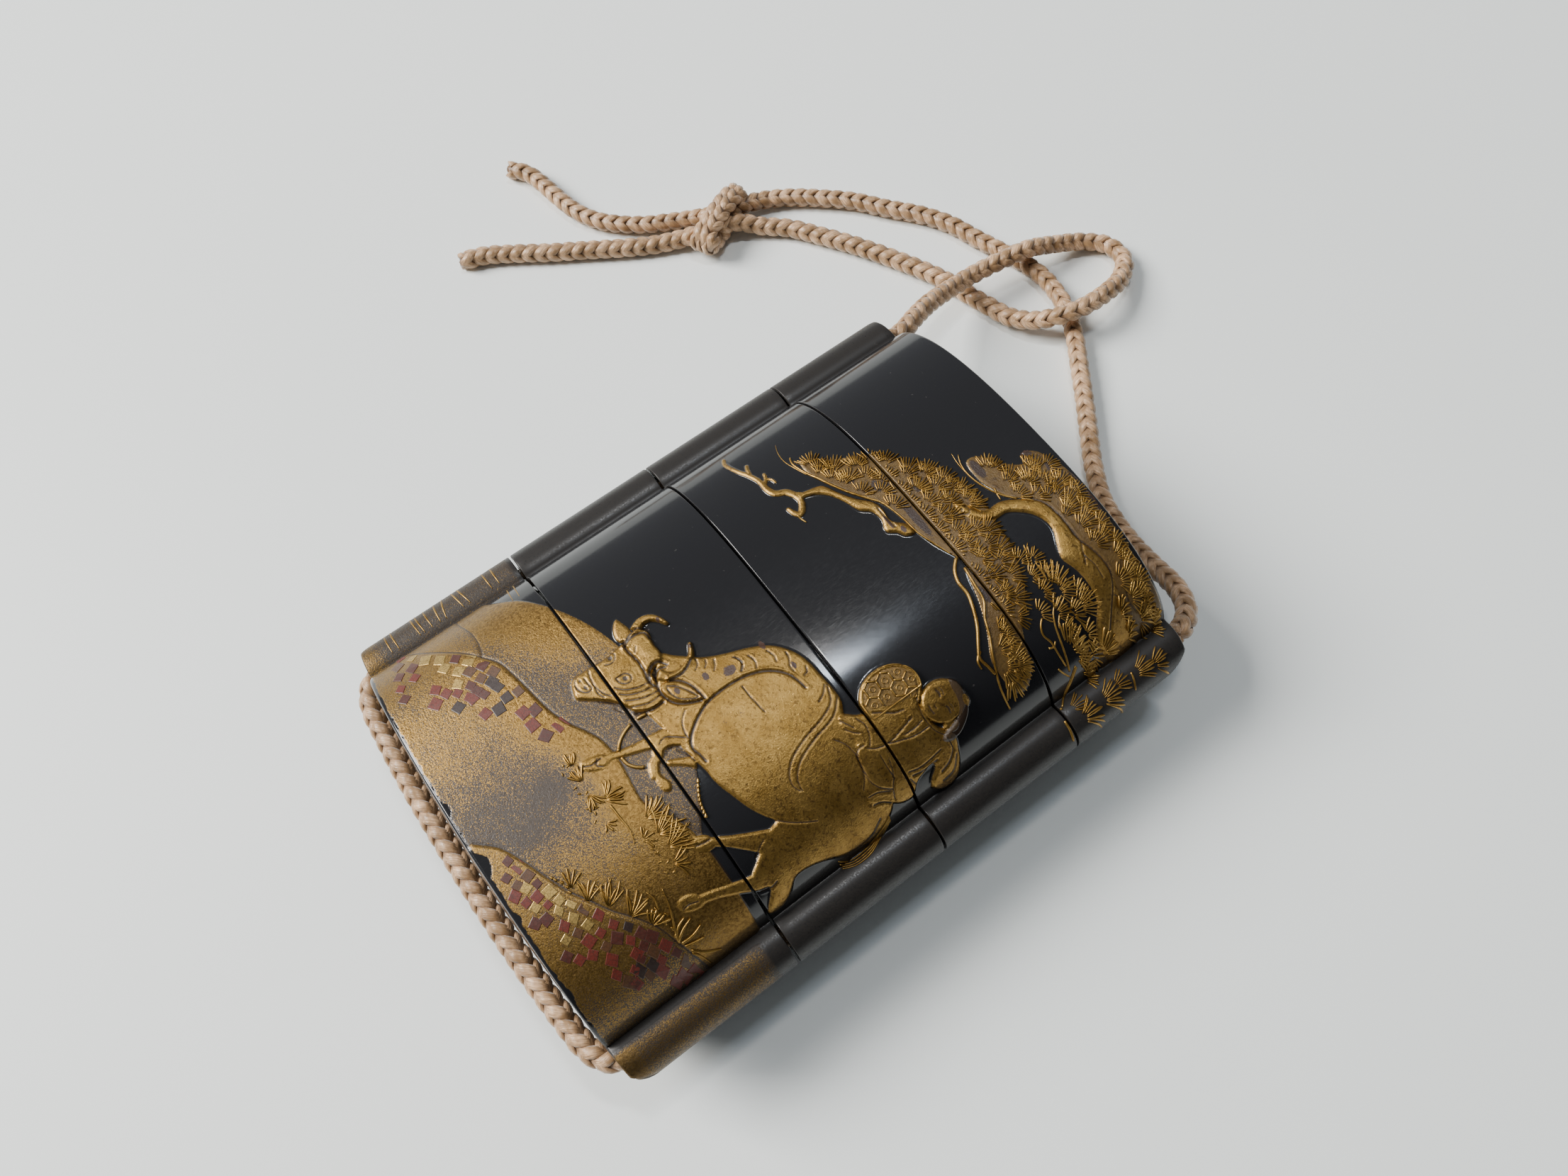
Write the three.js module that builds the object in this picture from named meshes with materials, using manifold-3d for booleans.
// An inro: a small tiered lacquer case in four pieces that nest on risers, with a ridge
// along each side that hides a cord runner, and one braided silk cord through both runners.
// It lies on its back, picture side up. Millimetres, +Z up; +Y points to the lid's end,
// and the origin is under the middle of the case, on the surface that it lies on.
import * as THREE from 'three';
import { mergeVertices } from 'three/addons/utils/BufferGeometryUtils.js';
import Module from 'manifold-3d';

const wasm = await Module();
wasm.setup();

// Outside of the case, measured from the plane half way through its thickness.
const LENGTH = 80;
const HALF_LENGTH = LENGTH / 2;
const HALF_THICKNESS = 12.7;
const PANEL_HALF_WIDTH = 26;
const PANEL_POWER = 3;
const RIDGE_X = 27.2;
const RIDGE_RADIUS = 3.4;
const CORNER_RADIUS = 3;
const END_DOME = 1.2;
const BACK_FLAT_DEPTH = 0.1;

// Heights of the four pieces, from the bottom end to the lid, and the gap at each joint.
const BOTTOM_HEIGHT = 21.7;
const MIDDLE_HEIGHT = 20.6;
const UPPER_HEIGHT = 19.9;
const GAP = 0.3;

// Inside of the case: the skirt of each piece slides over the riser of the one below.
const SKIRT_WALL = 1.3;
const RISER_WALL = 1.1;
const SKIRT_HALF_WIDTH = 24.2;
const RISER_HEIGHT = 4.5;
const FLOOR = 1.8;
const RUNNER_RADIUS = 1.75;
const MOUTH_RADIUS = 2.2;

// Height of the raised lacquer over the black ground.
const FAR_HILL_RELIEF = 0.12;
const NEAR_HILL_RELIEF = 0.22;
const PINE_RELIEF = 0.35;
const BRANCH_RELIEF = 0.45;
const OX_RELIEF = 0.6;
const OX_LEG_RELIEF = 0.4;
const HEAD_RELIEF = 0.85;
const RIDER_RELIEF = 0.9;
const HAT_RELIEF = 0.55;

// The cord.
const CORD_RADIUS = 1.4;
const CORD_SIDES = 8;
const CORD_STEP = 5.6;
const KNOT_CENTRE = new THREE.Vector3(-65.8, 38.4, 2.9);
const KNOT_HALF_SIZE = new THREE.Vector3(7, 3, 2.8);
const KNOT_TURN = THREE.MathUtils.degToRad(116);

const JOINTS = [BOTTOM_HEIGHT, MIDDLE_HEIGHT, UPPER_HEIGHT].reduce((places, height) => {
  places.push((places.at(-1) ?? -HALF_LENGTH) + height);
  return places;
}, []);

const BEYOND = 20;
const PANEL_STEPS = 44;
const RIDGE_STEPS = 20;

function toSolid(geometry) {
  const bare = geometry.index ? geometry.toNonIndexed() : geometry;
  bare.deleteAttribute('normal');
  bare.deleteAttribute('uv');
  const merged = mergeVertices(bare, 1e-4);
  return new wasm.Manifold(new wasm.Mesh({
    numProp: 3,
    vertProperties: new Float32Array(merged.attributes.position.array),
    triVerts: new Uint32Array(merged.index.array),
  }));
}

function toGeometry(solid) {
  const mesh = solid.getMesh();
  const geometry = new THREE.BufferGeometry();
  geometry.setAttribute('position', new THREE.BufferAttribute(new Float32Array(mesh.vertProperties), 3));
  geometry.setIndex(new THREE.BufferAttribute(new Uint32Array(mesh.triVerts), 1));
  geometry.computeVertexNormals();
  return geometry;
}

const unite = (solids) => solids.reduce((sum, solid) => sum.add(solid));

// A solid of the given outline in the XZ plane, from one place along Y to another.
function prismAlong(outline, from, to) {
  const geometry = new THREE.ExtrudeGeometry(new THREE.Shape(outline), { depth: to - from, bevelEnabled: false });
  geometry.rotateX(Math.PI / 2);
  geometry.translate(0, to, 0);
  return toSolid(geometry);
}

// A solid of the given outline in the XY plane, from one height to another.
function prismUp(outline, from, to) {
  const geometry = new THREE.ExtrudeGeometry(new THREE.Shape(outline), { depth: to - from, bevelEnabled: false });
  geometry.translate(0, 0, from);
  return toSolid(geometry);
}

function rodAlong(x, radius, from, to, sides) {
  const geometry = new THREE.CylinderGeometry(radius, radius, to - from, sides);
  geometry.translate(x, (from + to) / 2, 0);
  return toSolid(geometry);
}

// Section of the panels: a flattened oval, square-shouldered where it meets the ridges.
function panelOutline(halfWidth, halfHeight) {
  const outline = [];
  for (let step = 0; step < PANEL_STEPS; step += 1) {
    const angle = (2 * Math.PI * step) / PANEL_STEPS;
    const across = Math.sign(Math.cos(angle)) * Math.abs(Math.cos(angle)) ** (2 / PANEL_POWER);
    outline.push(new THREE.Vector2(halfWidth * across, halfHeight * Math.sin(angle)));
  }
  return outline;
}

// The whole outside as one block, grown by the height of a relief that is to lie on it.
function outsideBlock(growth) {
  const from = -HALF_LENGTH - END_DOME;
  const to = HALF_LENGTH + END_DOME;
  const panels = panelOutline(PANEL_HALF_WIDTH + growth, HALF_THICKNESS + growth);
  const ridges = [-RIDGE_X, RIDGE_X].map((x) => rodAlong(x, RIDGE_RADIUS + growth, from, to, RIDGE_STEPS));
  return unite([prismAlong(panels, from, to), ...ridges]).intersect(endsBlock(growth));
}

// The ends: rounded corners in plan, a shallow dome over each end, and the flat back.
function endsBlock(growth) {
  const halfWidth = RIDGE_X + RIDGE_RADIUS + growth;
  const halfLength = HALF_LENGTH + END_DOME;
  const radius = CORNER_RADIUS + END_DOME;
  const corner = (x, y, start) => new THREE.Path().absarc(x, y, radius, start, start + Math.PI / 2).getPoints(4);
  const plan = [
    ...corner(halfWidth - radius, halfLength - radius, 0),
    ...corner(radius - halfWidth, halfLength - radius, Math.PI / 2),
    ...corner(radius - halfWidth, radius - halfLength, Math.PI),
    ...corner(halfWidth - radius, radius - halfLength, 1.5 * Math.PI),
  ];
  const planBlock = prismUp(plan, BACK_FLAT_DEPTH - HALF_THICKNESS, HALF_THICKNESS + growth + 1);
  const edgeShare = Math.sqrt(1 - (HALF_LENGTH / (HALF_LENGTH + END_DOME)) ** 2);
  const dome = new THREE.SphereGeometry(1, 40, 60);
  dome.scale(PANEL_HALF_WIDTH / edgeShare, HALF_LENGTH + END_DOME, HALF_THICKNESS / edgeShare);
  return planBlock.intersect(toSolid(dome));
}

function smoothOutline(pairs, steps) {
  const points = pairs.map(([x, y]) => new THREE.Vector3(x, y - HALF_LENGTH, 0));
  const curve = new THREE.CatmullRomCurve3(points, true, 'centripetal');
  return curve.getSpacedPoints(steps).slice(0, steps).map((point) => new THREE.Vector2(point.x, point.y));
}

// An outline whose edge is cut into even scallops, as the tips of needle clusters.
function scallopedOutline(pairs, lobes, depth) {
  const stepsPerLobe = 3;
  const outline = smoothOutline(pairs, lobes * stepsPerLobe);
  return outline.map((point, index) => {
    const before = outline.at(index - 1);
    const after = outline[(index + 1) % outline.length];
    const outward = new THREE.Vector2(after.y - before.y, before.x - after.x).normalize();
    const inset = index % stepsPerLobe === 0 ? depth : 0;
    return point.clone().addScaledVector(outward, inset);
  });
}

// A raised patch: the outline carried up through a skin of the given height over the front.
const skins = new Map();
function relief(outline, height) {
  if (!skins.has(height)) {
    skins.set(height, outsideBlock(height));
  }
  return prismUp(outline, 0, BEYOND).intersect(skins.get(height));
}

// A tapering strip along a line, for branches, legs, horns and the tail.
function strip(pairs, startWidth, endWidth, height) {
  const steps = 3 * (pairs.length - 1);
  const line = new THREE.CatmullRomCurve3(pairs.map(([x, y]) => new THREE.Vector3(x, y - HALF_LENGTH, 0)));
  const sides = [[], []];
  for (let step = 0; step <= steps; step += 1) {
    const share = step / steps;
    const place = line.getPointAt(share);
    const ahead = line.getTangentAt(share);
    const halfWidth = THREE.MathUtils.lerp(startWidth, endWidth, share) / 2;
    sides[0].push(new THREE.Vector2(place.x - ahead.y * halfWidth, place.y + ahead.x * halfWidth));
    sides[1].unshift(new THREE.Vector2(place.x + ahead.y * halfWidth, place.y - ahead.x * halfWidth));
  }
  return relief([...sides[1], ...sides[0]], height);
}

function disc(x, y, halfWidth, halfHeight, height) {
  const ellipse = new THREE.EllipseCurve(x, y - HALF_LENGTH, halfWidth, halfHeight);
  return relief(ellipse.getPoints(16).slice(0, 16), height);
}

// Three overlapping hills over the foot of the picture.
function hills() {
  const far = smoothOutline([
    [-25, 4], [-25, 14.5], [-19.5, 20.4], [-14, 23.2], [-9, 24.6], [-5, 22.5], [1, 19], [4, 14], [-6, 8],
  ], 30);
  const middle = smoothOutline([
    [-25, 1], [-25, 11.6], [-17.5, 12.4], [-12.5, 14], [-5, 15.4], [1, 17.9], [9, 18.6], [18, 20.2],
    [24.6, 19.8], [25, 9], [14, 5], [4, 1], [-12, 0.6],
  ], 44);
  const near = smoothOutline([
    [2.5, 0.7], [8, 4.3], [12, 6], [17, 9.2], [21, 11.6], [24.8, 13.4], [25, 6], [24.6, 1], [14, 0.5],
  ], 28);
  return [
    relief(far, FAR_HILL_RELIEF),
    relief(middle, FAR_HILL_RELIEF),
    relief(near, NEAR_HILL_RELIEF),
  ];
}

// The ox walks to the left with its head down.
function ox() {
  const body = smoothOutline([
    [-1.6, 28], [-0.3, 31.6], [1.2, 35.4], [3.9, 39.4], [7.2, 40.8], [11, 41], [17, 40.2], [23.6, 39.6],
    [25, 36.2], [24.8, 31], [23.6, 27], [19, 27.6], [15.5, 25.8], [9.5, 24.9], [4.5, 24.6], [0.8, 25.2],
  ], 36);
  const head = smoothOutline([
    [-1.5, 28.3], [-4.6, 27.8], [-8.2, 27.2], [-7.6, 23.6], [-7.3, 18.9], [-5.6, 18], [-3.8, 19.2],
    [-2.2, 22.2], [0.2, 24.4], [1, 26.6],
  ], 26);
  return [
    relief(body, OX_RELIEF),
    relief(head, HEAD_RELIEF),
    disc(2, 27.8, 1.9, 1, HEAD_RELIEF),
    disc(-9, 26.6, 1.2, 0.7, HEAD_RELIEF),
    strip([[-7.2, 27], [-8.3, 29], [-6.6, 30.8]], 1.1, 0.5, HEAD_RELIEF),
    strip([[-1.6, 27.2], [-0.8, 29.4], [-2.8, 31.4]], 1.1, 0.5, HEAD_RELIEF),
    strip([[6.4, 26], [4.6, 22.4], [3.4, 19], [2.2, 15]], 2.6, 1.3, OX_LEG_RELIEF),
    strip([[7.5, 26], [7.6, 22.6], [5.6, 20.9], [9, 20.4]], 1.8, 1.3, OX_LEG_RELIEF),
    strip([[19.5, 28.5], [18.6, 25], [16.8, 22], [15.6, 19.6]], 2.4, 1.4, OX_LEG_RELIEF),
    strip([[22.4, 30], [23, 25], [22, 19.5], [20, 14.6]], 3.4, 1.5, OX_LEG_RELIEF),
  ];
}

// A seated herd boy with his round hat hung behind his shoulder.
function rider() {
  const robe = smoothOutline([
    [16.6, 48], [15.4, 44.4], [14.8, 41.4], [13.4, 39.8], [17.6, 38.8], [22, 37.6], [24.2, 39], [24, 43.6],
    [25.2, 46.2], [24.6, 48.8], [21.4, 49.4], [19, 48],
  ], 30);
  return [
    disc(14.9, 46.1, 3.1, 3.6, HAT_RELIEF),
    relief(robe, RIDER_RELIEF),
    disc(18.7, 50.6, 2.2, 2.5, RIDER_RELIEF),
  ];
}

// A pine reaching in from the right: two banks of needles, the trunk and a bare twig.
function pine() {
  const lowerBank = scallopedOutline([
    [-15, 56], [-11, 60.6], [-7, 65.4], [-2, 69], [3, 70], [9, 68], [15, 65.4], [21, 62.2], [23.6, 58.4],
    [19, 56.8], [11, 60], [4, 61.2], [-4, 59.6], [-9, 56.2],
  ], 26, 0.8);
  const upperBank = scallopedOutline([
    [-2, 70.6], [0.6, 73.4], [1.8, 77], [5, 79], [13, 79.2], [22, 79], [24.8, 74], [24.6, 65], [20, 67.4],
    [14, 69.6], [16, 73], [10, 74.8], [5.4, 72],
  ], 26, 0.6);
  return [
    relief(lowerBank, PINE_RELIEF),
    relief(upperBank, PINE_RELIEF),
    strip([[4, 65], [4.8, 69.4], [7.6, 72.8], [12, 74], [17, 71.8], [24.6, 73]], 1, 2.4, BRANCH_RELIEF),
    strip([[0.8, 60], [-2, 58.2], [-7, 57], [-9.6, 54.4], [-10.6, 51.6]], 0.9, 0.9, BRANCH_RELIEF),
    strip([[-10.4, 52], [-13, 50.8], [-17, 50], [-20.6, 49.2]], 0.9, 0.5, BRANCH_RELIEF),
  ];
}

// The outside with its picture, before it is parted.
const outside = unite([outsideBlock(0), ...hills(), ...ox(), ...rider(), ...pine()]);

function slab(from, to) {
  const geometry = new THREE.BoxGeometry(4 * BEYOND, to - from, 4 * BEYOND);
  geometry.translate(0, (from + to) / 2, 0);
  return toSolid(geometry);
}

// Insides, each a step further in than the one before.
const skirtSpace = (from, to) => prismAlong(
  panelOutline(SKIRT_HALF_WIDTH, HALF_THICKNESS - SKIRT_WALL), from, to);
const riserBlock = (from, to) => prismAlong(
  panelOutline(SKIRT_HALF_WIDTH - GAP, HALF_THICKNESS - SKIRT_WALL - GAP), from, to);
const trayHalfWidth = SKIRT_HALF_WIDTH - GAP - RISER_WALL;
const trayHalfHeight = HALF_THICKNESS - SKIRT_WALL - GAP - RISER_WALL;
const traySpace = (from, to) => prismAlong(panelOutline(trayHalfWidth, trayHalfHeight), from, to);

// One piece of the case. An end piece is given a place past the end of the case.
function casePiece(below, above) {
  const isBottom = below === undefined;
  const isLid = above === undefined;
  const from = isBottom ? -HALF_LENGTH - BEYOND : below + GAP / 2;
  const to = isLid ? HALF_LENGTH + BEYOND : above - GAP / 2;
  let piece = outside.intersect(slab(from, to));
  if (!isLid) {
    piece = piece.add(riserBlock(to - FLOOR, to + RISER_HEIGHT));
  }
  const skirtEnd = isLid ? HALF_LENGTH - FLOOR : from + RISER_HEIGHT + GAP;
  if (!isBottom) {
    piece = piece.subtract(skirtSpace(from - BEYOND, skirtEnd));
  }
  if (!isLid) {
    const trayFloor = isBottom ? FLOOR - HALF_LENGTH : skirtEnd + FLOOR;
    piece = piece.subtract(traySpace(trayFloor, to + BEYOND));
  }
  for (const x of [-RIDGE_X, RIDGE_X]) {
    piece = piece.subtract(rodAlong(x, RUNNER_RADIUS, -2 * HALF_LENGTH, 2 * HALF_LENGTH, 16));
    if (isBottom) {
      piece = piece.subtract(runnerMouth(x - Math.sign(x)));
    }
  }
  return piece;
}

// The flared mouth where the cord turns out of a runner and across the bottom end.
function runnerMouth(x) {
  const geometry = new THREE.SphereGeometry(MOUTH_RADIUS, 14, 10);
  geometry.translate(x, -HALF_LENGTH - 0.6, 0);
  return toSolid(geometry);
}

// A round cord through the given points.
function cordTube(points, steps) {
  const path = new THREE.CatmullRomCurve3(points.map((point) => new THREE.Vector3(...point)), false, 'centripetal');
  const section = new THREE.EllipseCurve(0, 0, CORD_RADIUS, CORD_RADIUS).getPoints(CORD_SIDES).slice(0, CORD_SIDES);
  return toSolid(new THREE.ExtrudeGeometry(new THREE.Shape(section), { extrudePath: path, steps }));
}

function cordSteps(points) {
  const path = new THREE.CatmullRomCurve3(points.map((point) => new THREE.Vector3(...point)));
  return Math.ceil(path.getLength() / CORD_STEP);
}

// The cord inside the runners and across the bottom end, from one top hole to the other.
function heldCord() {
  const halfCrossing = [
    [-RIDGE_X, -37, 0], [-RIDGE_X, -38.6, 0], [-26.8, -40, 0], [-25.6, -41.2, 0], [-23.6, -41.95, 0],
    [-20, -42.3, 0], [-12, -42.8, 0],
  ];
  const mirrored = halfCrossing.map(([x, y, z]) => [-x, y, z]).reverse();
  const runs = [-RIDGE_X, RIDGE_X].map(
    (x) => rodAlong(x, CORD_RADIUS - 0.01, 0.5 - HALF_LENGTH + 2, HALF_LENGTH + 0.2, CORD_SIDES));
  return unite([cordTube([...halfCrossing, [0, -43, 0], ...mirrored], 40), ...runs]);
}

// The two free ends, from the top holes down to the surface and along it to the knot.
const LEFT_ROUTE = [
  [-27.2, 40.5, 12.6], [-27.5, 42.8, 12.2], [-29, 46.4, 10.9], [-30.7, 50.5, 8.8], [-32.3, 56.4, 6],
  [-32.8, 61.5, 4.8], [-32.3, 66, 4.7], [-31.6, 70.4, 4.6], [-30.6, 75.6, 2.8], [-29, 80, 1.6],
  [-26.3, 82.6, 1.4], [-22.9, 82.6, 1.5], [-20.2, 79.2, 2.4], [-18.9, 74.6, 3.9], [-18.7, 69.9, 4.7],
  [-19.7, 66.4, 4.5], [-22, 63.8, 3], [-25.3, 62.1, 1.7], [-28.8, 61.1, 1.4], [-32.1, 60.1, 1.4],
  [-36.4, 59, 1.4], [-40.7, 57.2, 1.4], [-45.5, 54.8, 1.4], [-50.2, 52.2, 1.4], [-54.7, 49.3, 1.4],
  [-58.8, 46.4, 1.4], [-61.8, 43, 1.6], [-64, 40, 2.6],
];
const RIGHT_ROUTE = [
  [27.2, 40.5, 12.6], [27, 42.6, 12.2], [25.4, 45.2, 11], [22.4, 47, 9.4], [18.2, 48, 7.2], [14, 49.1, 5],
  [9.6, 50.4, 3.4], [5.2, 52.2, 2.1], [0.3, 55.3, 1.4], [-3.5, 58, 1.4], [-7.5, 60.9, 1.4],
  [-12.8, 64.6, 1.4], [-17.5, 67.8, 1.4], [-21, 69.6, 1.4], [-24.5, 70.6, 1.4], [-28.4, 70.9, 1.4],
  [-32.5, 70.1, 1.4], [-36.1, 68.9, 1.4], [-39.7, 67.7, 1.4], [-44, 66.4, 1.4], [-48.3, 64, 1.4],
  [-52.7, 60.5, 1.4], [-56.9, 57.4, 1.4], [-60.6, 53.6, 1.4], [-63.6, 50, 1.4], [-65.6, 46.4, 1.6],
  [-66.4, 42, 2.6],
];
const UPPER_TAIL_ROUTE = [
  [-67.2, 38.4, 2.6], [-69.4, 35.6, 1.6], [-71.2, 32.6, 1.4], [-73, 29.4, 1.4], [-75.6, 26.2, 1.4],
  [-78.5, 23.7, 1.4], [-81.9, 22.1, 1.4], [-86, 21.3, 1.4], [-89.9, 20.8, 1.4], [-93.4, 20, 1.4],
  [-95.7, 18.2, 1.4],
];
const LOWER_TAIL_ROUTE = [
  [-65.4, 35.2, 2.6], [-67.4, 31.6, 1.6], [-69.2, 27.8, 1.4], [-72, 23.2, 1.4], [-74.9, 18.9, 1.4],
  [-77.8, 14.5, 1.4], [-80.9, 10.2, 1.4], [-83.6, 6.1, 1.4], [-84.8, 2.8, 1.4],
];

// The outer shape of the overhand knot that ties both ends together.
function knotBlock(growth) {
  const geometry = new THREE.SphereGeometry(1, 20, 12);
  geometry.rotateZ(Math.PI / 2);
  geometry.scale(KNOT_HALF_SIZE.x + growth, KNOT_HALF_SIZE.y + growth, KNOT_HALF_SIZE.z + growth);
  geometry.rotateZ(KNOT_TURN);
  geometry.translate(KNOT_CENTRE.x, KNOT_CENTRE.y, KNOT_CENTRE.z);
  return toSolid(geometry);
}

// A stretch of cord, cut off just short of the knot.
function freeCord(route) {
  return cordTube(route, cordSteps(route)).subtract(knotBlock(GAP));
}

const lacquer = () => new THREE.MeshStandardMaterial({ color: 0x1c1b1c, roughness: 0.25, metalness: 0 });
const gilded = () => new THREE.MeshStandardMaterial({ color: 0x6b5426, roughness: 0.4, metalness: 0.5 });
const silk = () => new THREE.MeshStandardMaterial({ color: 0xc39673, roughness: 0.65, metalness: 0 });

function named(name, solid, material) {
  const mesh = new THREE.Mesh(toGeometry(solid), material);
  mesh.name = name;
  return mesh;
}

const [jointA, jointB, jointC] = JOINTS;
const caseGroup = new THREE.Group();
caseGroup.position.z = HALF_THICKNESS - BACK_FLAT_DEPTH;
caseGroup.add(
  named('bottom_case', casePiece(undefined, jointA), gilded()),
  named('middle_case', casePiece(jointA, jointB), gilded()),
  named('upper_case', casePiece(jointB, jointC), lacquer()),
  named('lid', casePiece(jointC, undefined), lacquer()),
  named('cord_in_runners', heldCord(), silk()),
);

const inro = new THREE.Group();
inro.add(
  caseGroup,
  named('cord_left_end', freeCord(LEFT_ROUTE), silk()),
  named('cord_right_end', freeCord(RIGHT_ROUTE), silk()),
  named('cord_knot', knotBlock(0), silk()),
  named('cord_upper_tail', freeCord(UPPER_TAIL_ROUTE), silk()),
  named('cord_lower_tail', freeCord(LOWER_TAIL_ROUTE), silk()),
);

export default inro;
